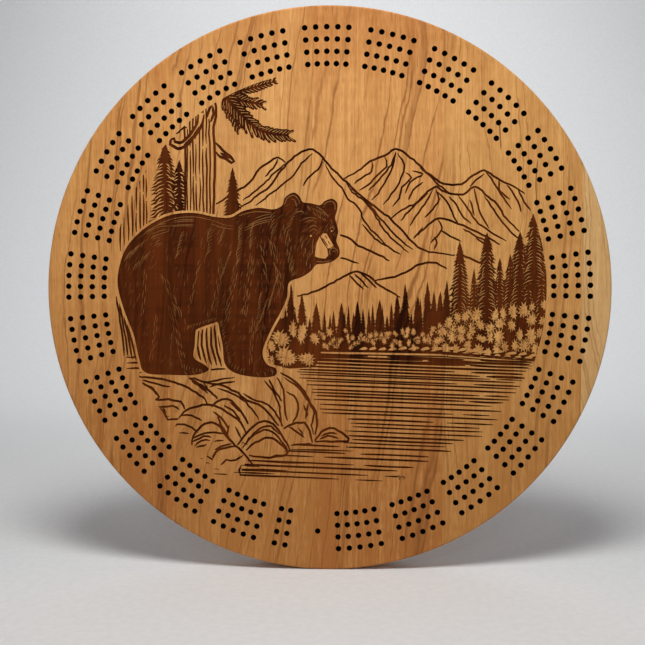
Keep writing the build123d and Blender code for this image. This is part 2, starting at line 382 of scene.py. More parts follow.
def draw_pines(picture, rng):
    """The conifers along the far shore, from small to large, and the dark ground they stand in."""
    for x in strewn(rng, -30.0, 84, 2.2, 3.8):
        draw_pine(picture, rng, x, rng.uniform(-20, -10) + 0.07 * max(0, x), pine_foot, rng.uniform(2.2, 3.2))
    for x, top in shore_pines:
        draw_pine(picture, rng, x, top, pine_foot, 4.8)
    undergrowth = [(x, shore_top(x) + 1) for x in range(-34, 140, 3)]
    picture.area([(-36, -38)] + undergrowth + [(137, -45), (60, -39)], BURNT)
    picture.area([(92, -24), (94, -8), (98, 0), (106, 5), (114, 8), (122, 12), (138, 14), (138, -24)], BURNT)
    for x, top, base, spread in large_pines:
        draw_pine(picture, rng, x, top, base, spread, 0.4)


def draw_shore(picture, rng):
    """The far shore: conifers, leafy undergrowth at their feet and a stony waterline."""
    draw_pines(picture, rng)
    for x in strewn(rng, -36.0, 72, 1.0, 2.3):
        y = rng.uniform(-35.5, shore_top(x) + 2)
        draw_leaves(picture, rng, x, y, rng.uniform(1.8, 3.0), rng.uniform(2.2, 4.2))
    for row in range(4):
        for x in strewn(rng, 68.0 + 2.5 * row, 137, 5.2, 7.4):
            y = -35.5 + row * (5.4 + 0.045 * (x - 68)) + rng.uniform(-2, 2)
            if y < shore_top(x) + 7 and rng.random() < 0.95:
                draw_leaves(picture, rng, x, y, rng.uniform(2.6, 4.2), rng.uniform(3.4, 6.0))
    for row in range(2):
        x = 20.0 + 3 * row
        while x < 134:
            y = -36.2 - max(0, x - 70) * 0.07 - 2.2 * row + rng.uniform(-0.4, 0.4)
            length = rng.uniform(4.5, 7.5)
            stone = [(0, -0.8), (0.35, 0.7), (0.8, 1.1), (1, 0), (0.6, -0.8)]
            picture.shape([(x + length * along, y + rise) for along, rise in stone], BARE, 1.2)
            x += length + rng.uniform(0.5, 1.2)
    for level, width in ((-37.6, 1.6), (-40.0, 0.9), (-42.0, 1.0), (-43.8, 0.8)):
        picture.straight([(-36, level), (20, level - 0.2), (72, level - 1.2), (133, level - 5.6)], width)


def water_right(y):
    """Right end of the ripples at a height, inside the picture's round edge."""
    return sqrt(max(1.0, (picture_radius - 1.5) ** 2 - y * y)) - max(0, -y - 86) * 0.45


def water_left(y):
    """Left end of the ripples at a height: the rocks above, the open shore below."""
    if y > -80:
        return -22 - (y + 50) * 0.62
    if y > -97:
        return 10.0
    if y > -108:
        return -48.0
    return -86 + (-108 - y) * 0.9


def draw_water(picture, rng):
    """Ripples across the lake, close together under the far shore and wide apart near the board's foot."""
    slope, far_level, near_level = 0.038, -40.0, -122
    y = far_level
    while y > near_level:
        nearness = (far_level - y) / (far_level - near_level)
        start = water_left(y) + rng.uniform(0, 7)
        end = water_right(y - slope * 90) - rng.uniform(0, 3 + 14 * nearness)
        x = start
        while x < end - 6:
            length = min(rng.uniform(40, 170) * (1.2 - 0.5 * nearness), end - x)
            half_way = x + length / 2
            middle = (half_way, y - slope * half_way + rng.uniform(-0.25, 0.25))
            width = rng.uniform(0.9, 1.35) * (1.3 if nearness < 0.14 else 1)
            ripple = [(x, y - slope * x), middle, (x + length, y - slope * (x + length))]
            picture.line(ripple, width, tips=0.4, step=6)
            x += length + rng.uniform(2, 12)
        y -= (1.7 + 2.3 * nearness) * rng.uniform(0.7, 1.3)


ground = [
    (-131, -45), (-118, -52), (-70, -55), (-33, -52), (-22, -55), (-13, -62), (-5, -74), (-2, -86),
    (-6, -94), (-20, -99), (-36, -105), (-52, -108), (-58, -121), (-90, -100), (-115, -75)]
# The boulders' outlines, then the finer lines on them.
boulders = [
    [(-120, -54), (-105, -56), (-95, -58.5), (-86, -63), (-78, -68.5), (-76.4, -72)],
    [(-88, -55), (-80, -59.7), (-74.5, -63.5), (-70, -68.5)],
    [(-79, -58), (-67.6, -59.7), (-58.8, -63.5), (-51, -69), (-42.4, -73), (-36, -79), (-31, -85.5)],
    [(-118, -58), (-112, -62), (-107.5, -67), (-109.8, -69)],
    [(-109.8, -69), (-101.6, -68.8), (-93.4, -70.4), (-91, -75)],
    [(-94.7, -80.5), (-91.5, -76.7), (-85, -73.5), (-76.4, -72.3), (-69.5, -73.5), (-63.8, -76.7),
     (-57.5, -81), (-53.5, -86), (-52, -91)],
    [(-73.9, -73.5), (-70, -69.8), (-63.8, -68.5), (-58.8, -71.7), (-53.7, -78), (-50.5, -84.5)],
    [(-86.5, -98), (-86, -92.4), (-82, -87.4), (-76.4, -83.6), (-71.4, -83.8), (-67.6, -87.4), (-63.8, -93),
     (-58.8, -98), (-52.5, -104), (-46.8, -111)],
    [(-77, -105), (-73.6, -106.9), (-71.4, -102.5), (-65, -99.4), (-58.8, -98.7)],
    [(-57.5, -98), (-52.5, -91.2), (-46.2, -84.9), (-39.9, -82.4), (-34.8, -84.3), (-29.8, -90),
     (-24.8, -98.7), (-23.8, -102)],
    [(-52, -101.3), (-46, -96.2), (-37.4, -93.1), (-29.8, -97), (-25.4, -102.5), (-29.8, -105),
     (-40, -105.7), (-50, -104.4)],
    [(-28, -87.4), (-22.2, -84.3), (-14.7, -83.6), (-11.5, -88.7), (-9.6, -96.2)],
    [(-29.8, -51.5), (-22.2, -56), (-14.7, -63.5), (-11, -71), (-7.8, -76), (-6.5, -82.4), (-8, -91)],
    [(-8.3, -95), (-2.1, -88), (4, -86.8), (9, -90), (13.2, -95), (-8, -95.4)]]
rock_lines = [
    [(-120, -51.5), (-104, -53.5), (-88, -54), (-79, -57.5), (-70, -56.5), (-59, -54.5)],
    [(-118, -56.5), (-108, -59), (-100, -60.5)], [(-86.5, -57), (-80, -61), (-76, -65)],
    [(-75, -61), (-70, -59), (-58.8, -57.2)], [(-80, -59), (-77.5, -63)], [(-78.5, -58.5), (-76, -62.5)],
    [(-70, -61.6), (-62.6, -64), (-54.4, -68.5), (-48, -74.8), (-43.7, -81.7)],
    [(-53.7, -64.7), (-47.4, -68.5), (-37.4, -72.3), (-32.3, -78.6), (-28, -86)],
    [(-112.8, -60), (-109.5, -64)], [(-111, -61), (-109, -66)],
    [(-107.9, -73.5), (-99, -73), (-94.3, -75.4)],
    [(-106.7, -74.2), (-103, -79), (-101.6, -81.5), (-94.7, -81)], [(-105, -74), (-103, -77.5)],
    [(-104, -80), (-101, -79.5)], [(-93.4, -79.2), (-86.5, -79.2), (-80.2, -82.4)],
    [(-97.2, -86), (-96, -84.3), (-89, -85.5), (-82.7, -90)], [(-94.7, -90.2), (-88.4, -90.6)],
    [(-85.9, -93.7), (-77.7, -90), (-66.3, -90.6)], [(-86.6, -96), (-79, -92.5), (-74, -93)],
    [(-84.6, -98.7), (-80.2, -95), (-75, -95)], [(-84, -99.5), (-77, -97.5)], [(-72.6, -95.6), (-66.3, -95)],
    [(-68.2, -110.7), (-65, -107.6), (-58.8, -107.6), (-53.7, -104.4)],
    [(-72, -101), (-66, -98), (-61, -97)],
    [(-54.4, -100), (-50, -93.7), (-43.7, -89.3), (-37.4, -88), (-31, -93), (-25.4, -100.6)],
    [(-52, -97), (-47, -90.5), (-41.5, -86.5), (-36, -86), (-30.5, -91)], [(-54.5, -96), (-51, -97.5)],
    [(-24.8, -86), (-18.5, -90), (-14.7, -93)], [(-18.5, -86.8), (-15.5, -91)],
    [(-23.5, -98), (-17.2, -97), (-9.6, -97.2)],
    [(-40, -56.5), (-34.8, -63.5), (-31, -71), (-29.8, -78.6), (-29.2, -86)],
    [(-37, -55.5), (-34, -62), (-29, -70)], [(-32.3, -54.6), (-28, -62.2), (-27.3, -72.3), (-25.4, -82.4)],
    [(-27.3, -54.6), (-18.5, -61), (-12.2, -69.8), (-8.6, -77.3), (-10, -85), (-9, -91)],
    [(-26, -63.5), (-19.7, -68.5), (-19, -77.3), (-22.2, -83.6)], [(-12.2, -71), (-14, -81)],
    [(-15, -72), (-12.5, -79)], [(-70, -78.6), (-67.6, -85), (-63.8, -91)],
    [(-73, -76.5), (-68, -80), (-63, -88)], [(-62.6, -85), (-63.8, -91), (-61, -95)],
    [(-58.8, -86), (-55, -93.7)], [(-66, -72.5), (-60, -76), (-55.5, -82)], [(-62, -70.5), (-56, -76.5)],
    [(-4, -92), (1, -90), (6, -90.5)], [(-5, -94), (0, -92), (7, -93.5)]]
# The ledge's reflections: left end and length of each.
reflections = [
    (-55, -110.8, 12), (-56, -113.2, 30), (-56, -117.5, 40), (-60, -115.4, 26), (-50, -108, 34),
    (-24, -100.5, 40), (-40, -108.6, 26)]


def draw_rocks(picture, rng):
    """The ledge under the bear and the boulders between it and the water."""
    picture.area(ground, BARE)
    picture.cuts(boulders, rng, 1.5, tips=0.6)
    picture.cuts(rock_lines, rng, 1.3)
    for x, y, length in reflections:
        picture.straight([(x, y), (x + length / 2, y - 0.4), (x + length, y - 0.9)], 1.3)
    picture.straight([(-55, -110.6), (-56.5, -114), (-55.5, -117.8)], 1.6)


def draw_gap(picture, rng):
    """Bark and bare ground seen between the bear's legs and behind its heel."""
    picture.area([(-88, -20), (-66, -16), (-60, -50), (-70, -54), (-80, -54), (-90, -45)], BARE)
    for i in range(6):
        top, foot = -81.3 + 2.5 * i, -80 + 3.2 * i
        bark = [(top, -23.4 + 0.6 * i), (top - 1.2 + 0.4 * i, -34), (foot, -45.5 - 0.5 * i)]
        picture.cut(bark, rng, 1.5, step=5)
    picture.cut([(-84.5, -44.6), (-76.5, -47.2), (-75, -49.4), (-64, -49.2)], rng, 1.2)
    for i in range(6):
        x = -134 + 2.1 * i
        bark = [(x, -3 - 4 * i), (x + 2.5, -20 - 3 * i), (x + 4.5 + 0.5 * i, -41 - i)]
        picture.cut(bark, rng, 1.35, step=6)
    for y in (-42, -45.5, -49):
        picture.straight([(-128, y), (-122, y + 0.3), (-117, y)], 1.5)


# Tufts in the bear's coat: path, the hairs' heading in degrees, their length and curl, and how many lanes.
coat = [
    ([(-124, 26), (-115, 33)], 233, 8, 0.1, 1), ([(-121, 18), (-112, 26)], 236, 7, 0.1, 1),
    ([(-110, 40), (-104, 30)], 198, 6, 0.2, 1), ([(-102, 43), (-100, 38)], 195, 12, 0.1, 1),
    ([(-84, 45.6), (-84, 41)], 181, 18, 0.05, 1), ([(-59, 43), (-59, 39)], 172, 17, -0.1, 1),
    ([(-35, 48.6), (-36, 44)], 193, 16, 0.1, 1), ([(-72, 40), (-73, 26)], 212, 6.5, 0.35, 1),
    ([(-63, 41), (-66, 33)], 215, 6, 0.3, 1), ([(-53, 43), (-55, 20)], 226, 6.5, 0.3, 1),
    ([(-46, 44), (-47, 30)], 232, 6, 0.25, 1), ([(-60, 26), (-65, 12)], 226, 6, 0.25, 1),
    ([(-66, 21), (-71, -10)], 250, 6, 0.2, 3), ([(-57, 16), (-63, -14)], 246, 6, 0.15, 3),
    ([(-105, 12), (-96, -10)], 300, 8, -0.2, 3), ([(-100, -8), (-93, -40)], 290, 6, -0.1, 3),
    ([(-98, -26), (-99, -46)], 236, 4, 0.2, 1), ([(-36, 34), (-30, 4)], 292, 7, -0.2, 3),
    ([(-42, 30), (-40, 12)], 296, 6, -0.2, 2), ([(-47, 24), (-52, -12)], 255, 6, 0.1, 3),
    ([(-41, 0), (-44, -24)], 226, 4, 0.2, 1), ([(-46.5, -16), (-48.5, -42)], 262, 6, 0.1, 2),
    ([(-40, -43), (-36, -49)], 308, 4, 0, 1), ([(-92, -46), (-78, -49.5)], 250, 3.5, 0.2, 1),
    ([(-64, -44), (-50, -50)], 238, 4, 0.2, 1), ([(-88, -21.5), (-70, -16)], 234, 3.4, 0.2, 1),
    ([(-66.5, -18), (-61, -44)], 222, 3.2, 0.2, 1), ([(-115, 14), (-117, -12)], 262, 6, 0, 2),
    ([(-90, 38), (-93, 24)], 214, 6, 0.3, 1), ([(-33, 51), (-33, 38)], 226, 4.5, 0.2, 1),
    ([(-26, 42), (-22, 16)], 258, 4.5, 0.1, 3), ([(-18, 52), (-23, 41)], 208, 3.5, 0.1, 1),
    ([(-13, 54), (-3, 50)], 312, 4, -0.2, 1), ([(-16, 34), (-11, 16)], 258, 4, 0.1, 2),
    ([(3, 45), (5.6, 36)], 240, 2.5, 0, 1), ([(-30, 12), (-36, -8)], 236, 5, 0.1, 1),
    ([(-37, -4), (-42, -18)], 232, 4.5, 0.1, 1), ([(-24, 26), (-20, 12)], 232, 4, 0.1, 1),
    ([(-9, 50), (-2, 46)], 300, 3, 0, 1), ([(-80, 20), (-86, -4)], 248, 6, 0.1, 2),
    ([(-108, -14), (-112, -40)], 262, 5, 0, 2)]


def draw_hair(picture, body, root, heading, length, curl, width, tone):
    """One bent hair, drawn only if it is inside the body's outline."""
    x, y = root
    middle = polar(root, length / 2, heading)
    end = polar(middle, length / 2, heading + curl)
    probes = [(x, y + 1), (x, y - 1), middle, polar(end, 1, heading)]
    if all(inside(probe, body) for probe in probes):
        picture.line([root, middle, end], width, tone, tips=0.3, step=2.4)


def draw_fur(picture, rng, body):
    """The coat's hairs, singed rather than burnt: tufts side by side, and short hairs strewn between them."""
    lane_width, hair_pace = 1.35, 1.75
    for path, heading, length, curl, lanes in coat:
        pace = hair_pace if lanes == 1 else length * 1.1 / lanes
        for i, (x, y) in enumerate(smooth(path, pace)):
            across = lane_width * (i % lanes - (lanes - 1) / 2) + rng.uniform(-0.2, 0.2)
            turned = radians(heading + rng.uniform(-4, 4))
            root = (x - across * sin(turned), y + across * cos(turned))
            reach, width = length * rng.uniform(0.7, 1.1), rng.uniform(0.32, 0.5)
            draw_hair(picture, body, root, turned, reach, 2 * curl, width, SINGED)
    strewn_hairs, strewn_tone = 800, 0.76
    for i in range(strewn_hairs):
        x, y = rng.uniform(-128, 4), rng.uniform(-50, 58)
        if rng.random() < (x + 170) / 170:
            heading = radians(255 + 14 * sin(x / 8) - max(0, y - 30) * 1.5 + rng.uniform(-8, 8))
            reach, curl, width = rng.uniform(2.5, 6), rng.uniform(-0.3, 0.3), rng.uniform(0.35, 0.55)
            draw_hair(picture, body, (x, y), heading, reach, curl, width, strewn_tone)


# Singed lines on the ears, brows, mouth and back, each with its width.
bear_lines = [
    ([(-27, 54), (-25, 58.5), (-21.3, 60.3), (-18.6, 58.4), (-17, 55)], 0.55),
    ([(-22.5, 58), (-20.4, 57.2), (-19, 53)], 0.4), ([(-19.5, 49.5), (-16, 50.3), (-14.5, 49)], 0.6),
    ([(-2.6, 54), (0.2, 56), (3.4, 56.2), (5, 53.8), (4.9, 50.8)], 0.5),
    ([(-7, 53.2), (-2.5, 50.5), (1, 46.5)], 0.45),
    ([(-119, 34), (-108, 41.5), (-97, 46), (-84, 47), (-71, 44.5)], 0.45),
    ([(-56, 47.5), (-46, 50), (-35, 49.5)], 0.45), ([(-14.5, 45.2), (-10.5, 46.4), (-6.6, 45.4)], 0.4),
    ([(-14, 43.2), (-10.5, 44.6), (-6.8, 43.6)], 0.35), ([(-11.5, 39.6), (-9, 41.4), (-6.2, 40.6)], 0.5),
    ([(-10.8, 37.4), (-8.6, 39.2), (-6.2, 38)], 0.4), ([(1.6, 39.4), (3.2, 40.4), (5, 39)], 0.45),
    ([(-7, 18.8), (-2, 18.4), (3, 19.6)], 0.5), ([(-8.6, 33), (-9.4, 28), (-9, 23.5)], 0.4)]
cheek = [
    (-4.7, 34.4), (-2.8, 30.6), (0, 26.8), (0.6, 22.4), (-1.2, 20.5), (-5.2, 20.9), (-7.8, 22), (-7.5, 25.6),
    (-6.6, 30.4)]
bridge = [(-4, 34.6), (-2.5, 36.4), (-0.4, 36.2), (2, 32), (4.2, 28.6), (3, 27), (0.4, 27), (-1.8, 30.6)]
muzzle_lines = [[(-3, 33.6), (-0.8, 30), (0.6, 28.4)], [(-1.4, 35.2), (0, 33)], [(0.6, 31.6), (1.6, 29.4)]]
nose_ring = [(2.4, 22.6), (1.5, 24.4), (2.2, 26.2), (4.4, 27), (6.4, 25.6), (6.6, 23.8)]
claws = [(-36, -50), (-40.5, -51), (-45, -51.5), (-81, -49.5), (-86, -50.5), (-91, -51)]


def draw_face(picture):
    """The bear's eyes, pale muzzle and nose."""
    picture.area(circle((-10.2, 34.8), 0.7, 8), BARE)
    picture.area(circle((2.8, 37.8), 0.55, 8), BARE)
    for patch in (cheek, bridge):
        picture.area(patch, BARE)
    for points in muzzle_lines:
        picture.line(points, 0.6, tips=0.3, step=0.9)
    picture.area(circle((4, 24.6), 3.3, 20), BURNT)
    picture.line([(1.8, 25.4), (2.8, 27), (4.8, 27.2)], 0.55, BARE, step=0.8)
    picture.line(nose_ring, 0.5, SINGED, step=0.8)
    picture.line([(3, 24.6), (4.2, 25.4), (5.6, 24.6)], 0.45, SINGED, step=0.8)


def draw_bear(picture, rng):
    """The bear: a burnt silhouette in a bare edge, with singed coat, ears, brows and claws."""
    body = smooth(bear_outline, 1.4, closed=True)
    picture.area(ribbon(body + [body[0]], 3.0, tips=1.0), BARE)
    picture.area(body, BURNT)
    draw_fur(picture, rng, body)
    for points, width in bear_lines:
        picture.line(points, width, SINGED, tips=0.3, step=1.2)
    draw_face(picture)
    for x, y in claws:
        picture.line([(x, y), (x + 1.2, y - 1.5), (x + 1, y - 3)], 0.5, SINGED, step=0.8)


# The boughs over the bear: stem, length of needle and droop.
boughs = [
    ([(-64, 122.5), (-55, 125), (-45.6, 127.4), (-37, 129.8), (-31.5, 131.4)], 6.5, 1.0),
    ([(-64.5, 121), (-61.5, 115), (-58, 108), (-54.5, 101.5)], 7.5, 1.0),
    ([(-63, 122), (-56, 120), (-47.7, 118.2), (-40, 116.9)], 8.5, 1.0),
    ([(-63.5, 122.5), (-57.5, 115), (-52, 109), (-45, 103), (-38.6, 99.8), (-30, 98.2), (-24, 97.6)],
     9.0, 1.35)]
# The pines behind the bear: middle, top, foot, spread and gaps.
near_pines = [(-59.3, 76, 44, 6.5, 0.0), (-93, 81, 50, 8.5, 0.8), (-102, 92, 34, 13, 0.8)]
# The leafy clumps by the bear's front leg: middle, width and height, over one burnt patch.
near_clumps = [
    (-21.6, -24.4, 3, 6.5), (-15.3, -27.4, 3.6, 7.5), (-8.6, -31, 3.8, 4.6), (-29, -29.5, 7.5, 5.2),
    (-36, -36, 3.5, 5), (-35, -44, 3, 3.5), (-25.5, -40.3, 7.2, 6.8), (-13.6, -43.5, 6, 4.8)]
clump_ground = [(-40, -22), (-26, -16), (-6, -26), (-4, -40), (-8, -48), (-24, -49), (-36, -46)]


def draw_picture():
    """The whole picture, from far to near."""
    rng = Random(seed)
    picture = Picture()
    draw_mountains(picture, rng)
    draw_water(picture, rng)
    draw_shore(picture, rng)
    for pine in near_pines:
        draw_pine(picture, rng, *pine)
    picture.area([(-89, 44), (-89, 106), (-72, 118), (-72, 44)], BARE)
    draw_trunks(picture, rng)
    for bough in boughs:
        draw_bough(picture, rng, *bough)
    draw_rocks(picture, rng)
    draw_gap(picture, rng)
    picture.area(clump_ground, BURNT)
    for clump in near_clumps:
        draw_leaves(picture, rng, *clump)
    draw_bear(picture, rng)
    return picture.areas


# ---------------- the staves

def peg_hole_places():
    """Centres of all peg holes."""
    def place(street, column, track):
        angle = radians(home_angle + street * street_pitch + column * column_pitch)
        return polar(origin, outer_track_radius - track * track_spacing, -angle)

    tracks = range(track_count)
    played = [place(s, c, t) for s in range(1, street_count + 1) for c in street_columns for t in tracks]
    start = [place(0, c, t) for c in start_columns for t in tracks]
    return played + start + [place(0, finish_column, (track_count - 1) / 2)]


def front_cuts():
    """What is cut into the playing face, as outline, tone and depth, later ones over earlier ones.

    The picture comes first, then a bare ring round it, dark marks in the wood's figure, and the peg holes.
    """
    cuts = [(outline, tone, tone * engraving_depth) for outline, tone in draw_picture()]
    rim = board_radius - 3
    # The ring is made of two halves, as an outline can't have a hole.
    for start in (0, pi):
        inner = arc(picture_radius, start, start + pi, 90)
        cuts.append((arc(rim, start, start + pi, 90) + inner[::-1], BARE, 0.0))
    marks = [
        ([(107, 107), (107.6, 98), (108.3, 88)], 0.9), ([(131, 82), (130, 66), (131, 52)], 0.7),
        ([(44.5, -116.5), (46, -118), (45.5, -120)], 2.0), ([(48.5, -117), (49, -118.5), (48, -119.6)], 1.3)]
    cuts += [(ribbon(smooth(mark), width, 0.2), SINGED, 0.0) for mark, width in marks]
    cuts += [(circle(place, hole_radius, hole_corners), CHARRED, hole_depth) for place in peg_hole_places()]
    return cuts


def back_cuts():
    """What is cut into the back: the peg store, bores for insert and magnet, and the feet's pilot holes."""
    store = []
    half_width, half_height = store_width / 2 - store_corner, store_height / 2 - store_corner
    corner_pieces = 6
    for quarter, (sx, sy) in enumerate([(1, 1), (-1, 1), (-1, -1), (1, -1)]):
        centre = (sx * half_width, sy * half_height)
        for i in range(corner_pieces + 1):
            store.append(polar(centre, store_corner, (quarter + i / corner_pieces) * pi / 2))
    cuts = [(store, BARE, store_depth), (circle(insert_place, insert_radius, 32), BARE, insert_depth),
            (circle(magnet_place, magnet_radius, 40), BARE, magnet_depth)]
    for sx in (-1, 1):
        for sy in (-1, 1):
            cuts.append((circle((sx * foot_offset, sy * foot_offset), pilot_radius, 20), BARE, pilot_depth))
    return cuts


def stave_arcs(left, right, radius):
    """The stave's stretches of a circle about the board's centre, each as its start and end angle."""
    from_right = acos(min(1.0, right / radius)) if right < radius else 0.0
    from_left = acos(max(-1.0, left / radius)) if left > -radius else pi
    if from_left == pi:
        return [(from_right, 2 * pi - from_right)]
    if from_right == 0.0:
        return [(-from_left, from_left)]
    return [(-from_left, -from_right), (from_right, from_left)]


def ring_points(left, right, radius, segments):
    """Points of the stave's arcs, evenly spread over segments pieces each, anticlockwise."""
    return [arc(radius, start, end, segments) for start, end in stave_arcs(left, right, radius)]


def anticlockwise(polygon):
    """The polygon, turned round if it runs clockwise."""
    area = sum(a[0] * b[1] - b[0] * a[1] for a, b in zip(polygon, polygon[1:] + polygon[:1]))
    return polygon if area > 0 else polygon[::-1]


def divide(stave_outlines, cuts):
    """Divides one face of the board into triangles: its points, and each stave's (corners, tone, depth)."""
    triangles_inside, weld_distance = 1, 1e-4
    polygons = [anticlockwise(polygon) for polygon in stave_outlines]
    polygons += [anticlockwise(outline) for outline, tone, depth in cuts]
    points, faces = [], []
    for polygon in polygons:
        faces.append(list(range(len(points), len(points) + len(polygon))))
        points += [Vector(point) for point in polygon]
    divided = delaunay_2d_cdt(points, [], faces, triangles_inside, weld_distance, True)
    out_points, _, out_faces, _, _, owners = divided
    count = len(stave_outlines)
    staves = [[] for _ in range(count)]
    for corners, owner in zip(out_faces, owners):
        own = [i for i in owner if i < count]
        if not own:
            continue
        last = max(owner)
        tone, depth = cuts[last - count][1:] if last >= count else (BARE, 0.0)
        staves[own[0]].append((tuple(corners), tone, depth))
    return [tuple(point) for point in out_points], staves


class Shell:
    """A closed mesh under construction. Every corner is named, so that neighbours share it."""

    def __init__(self):
        self.corners, self.index, self.faces, self.tones, self.smooth = [], {}, [], [], []

    def corner(self, key, x, y, depth):
        if key not in self.index:
            self.index[key] = len(self.corners)
            self.corners.append((x * MM, face_y + depth * MM, centre_height + y * MM))
        return self.index[key]

    def face(self, loop, tone=BARE, smooth=False):
        loop = [c for i, c in enumerate(loop) if c != loop[i - 1]]
        if len(loop) > 2:
            self.faces.append(loop)
            self.tones.append(tone)
            self.smooth.append(smooth)

    def piece(self, name):
        """An object with the finished mesh, whose faces say how strongly they are burnt."""
        mesh = bpy.data.meshes.new(name)
        mesh.from_pydata(self.corners, [], self.faces)
        mesh.polygons.foreach_set("use_smooth", self.smooth)
        burn = mesh.attributes.new("burn", "FLOAT", "FACE")
        burn.data.foreach_set("value", self.tones)
        mesh.update()
        piece = bpy.data.objects.new(name, mesh)
        bpy.context.collection.objects.link(piece)
        return piece


class Relief:
    """One face of a stave: its triangles, and the levels at which each of its points stands."""

    def __init__(self, shell, side, points, triangles):
        self.shell, self.side, self.points, self.triangles = shell, side, points, triangles
        self.levels = {}
        for corners, tone, depth in triangles:
            for c in corners:
                self.levels.setdefault(c, set()).add(depth)

    def corner(self, point, depth):
        x, y = self.points[point]
        from_face = depth if self.side == "front" else thickness - depth
        return self.shell.corner((self.side, point, depth), x, y, from_face)

    def column(self, point, start, end):
        """Corners above each other at a point, from level start to level end."""
        low, high = min(start, end), max(start, end)
        levels = sorted(level for level in self.levels[point] if low <= level <= high)
        return [self.corner(point, level) for level in (levels if start < end else levels[::-1])]

    def add(self, loop, tone=BARE):
        self.shell.face(loop if self.side == "front" else loop[::-1], tone)

    def build(self):
        """Adds the level areas and the walls between them. Returns the edges where the stave ends."""
        edges = {}
        for corners, tone, depth in self.triangles:
            self.add([self.corner(c, depth) for c in corners], tone)
            for a, b in zip(corners, corners[1:] + corners[:1]):
                edges[(a, b)] = (tone, depth)
        border = {}
        for (a, b), (tone, depth) in edges.items():
            other = edges.get((b, a))
            if other is None:
                border[(a, b)] = depth
            elif depth < other[1]:
                self.add(self.column(a, depth, other[1]) + self.column(b, other[1], depth), other[0])
        return border

    def profile(self, edges, downwards):
        """Corners along the border edges on one glue line, steps included."""
        def height(edge):
            return self.points[edge[0]][1] + self.points[edge[1]][1]

        loop, previous_depth = [], None
        for a, b in sorted(edges, key=height, reverse=downwards):
            depth = edges[(a, b)]
            first, second = (a, b) if (self.points[a][1] > self.points[b][1]) == downwards else (b, a)
            if previous_depth not in (None, depth):
                loop += self.column(first, previous_depth, depth)
            loop += [self.corner(first, depth), self.corner(second, depth)]
            previous_depth = depth
        return loop


def rim_profile(steps=5):
    """Radius and depth of each ring round the rim, from the playing face to the back."""
    rings = []
    for i in range(steps + 1):
        turn = pi / 2 * i / steps
        rings.append((board_radius - rim_round + rim_round * sin(turn), rim_round - rim_round * cos(turn)))
    return rings + [(r, thickness - depth) for r, depth in reversed(rings)]


def wrap_rim(shell, ring_corner, ring_count, stretches, segments):
    """Adds the rounded rim between the playing face and the back, over each stretch of the circle."""
    for ring in range(ring_count - 1):
        for stretch in range(stretches):
            for i in range(segments):
                loop = [ring_corner(ring, stretch, i + 1), ring_corner(ring, stretch, i),
                        ring_corner(ring + 1, stretch, i), ring_corner(ring + 1, stretch, i + 1)]
                shell.face(loop, smooth=True)


def glue_line_ends(is_right, stretches, segments):
    """Where a glue line meets the rim, above and below, each as a stretch of the circle and a point on it."""
    if stretches == 1:
        return ((0, 0), (0, segments)) if is_right else ((0, segments), (0, 0))
    return ((1, 0), (0, segments)) if is_right else ((1, segments), (0, 0))


def rounded(point):
    """A point's name: the same for points that fall together."""
    return (round(point[0], 3), round(point[1], 3))


def build_stave(name, left, right, segments, front, back):
    """Makes one stave as a closed mesh, engraved in front and pocketed behind."""
    shell = Shell()
    reliefs = [Relief(shell, "front", *front), Relief(shell, "back", *back)]
    borders = [relief.build() for relief in reliefs]
    rings = rim_profile()
    rows = [ring_points(left, right, radius, segments) for radius, depth in rings]
    places = [{rounded(point): i for i, point in enumerate(relief.points)} for relief in reliefs]
    nearly = 1e-3

    def ring_corner(ring, stretch, i):
        point = rows[ring][stretch][i]
        if ring in (0, len(rings) - 1):
            side = 0 if ring == 0 else 1
            return reliefs[side].corner(places[side][rounded(point)], 0.0)
        return shell.corner((ring, stretch, i), *point, rings[ring][1])

    stretches = len(rows[0])
    wrap_rim(shell, ring_corner, len(rings), stretches, segments)
    for line, is_right in ((left, False), (right, True)):
        if abs(line) >= board_radius:
            continue
        front_edges, back_edges = (
            {edge: depth for edge, depth in border.items()
             if all(abs(relief.points[c][0] - line) < nearly for c in edge)}
            for relief, border in zip(reliefs, borders))
        top, bottom = glue_line_ends(is_right, stretches, segments)
        inner = range(1, len(rings) - 1)
        top_ring = [ring_corner(ring, *top) for ring in inner]
        bottom_ring = [ring_corner(ring, *bottom) for ring in inner]
        first_ring, second_ring = (bottom_ring, top_ring) if is_right else (top_ring, bottom_ring)
        shell.face(reliefs[0].profile(front_edges, is_right) + first_ring
                   + reliefs[1].profile(back_edges, not is_right) + second_ring[::-1])
    return shell.piece(name + "_engraved")


def build_staves():
    """All five staves, each riding on the board in place of its CAD node."""
    flat_radius = board_radius - rim_round
    longest_piece = radians(1.5)
    edges = [-board_radius] + [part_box(name)[1].x / MM for name in stave_names[:-1]] + [board_radius]
    spans = list(zip(edges, edges[1:]))
    outlines, segments = [], []
    for left, right in spans:
        longest_arc = max(end - start for start, end in stave_arcs(left, right, flat_radius))
        segments.append(ceil(longest_arc / longest_piece))
        outlines.append(sum(ring_points(left, right, flat_radius, segments[-1]), []))
    front_points, front_faces = divide(outlines, front_cuts())
    back_points, back_faces = divide(outlines, back_cuts())
    staves = []
    for i, name in enumerate(stave_names):
        front, back = (front_points, front_faces[i]), (back_points, back_faces[i])
        piece = build_stave(name, *spans[i], segments[i], front, back)
        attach(piece, "board")
        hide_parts(name)
        staves.append(piece)
    return staves


# ---------------- materials

def srgb(red, green, blue):
    """A linear colour from display values between 0 and 255."""
    def linear(value):
        value /= 255
        return value / 12.92 if value <= 0.04045 else ((value + 0.055) / 1.055) ** 2.4
    return (linear(red), linear(green), linear(blue), 1.0)


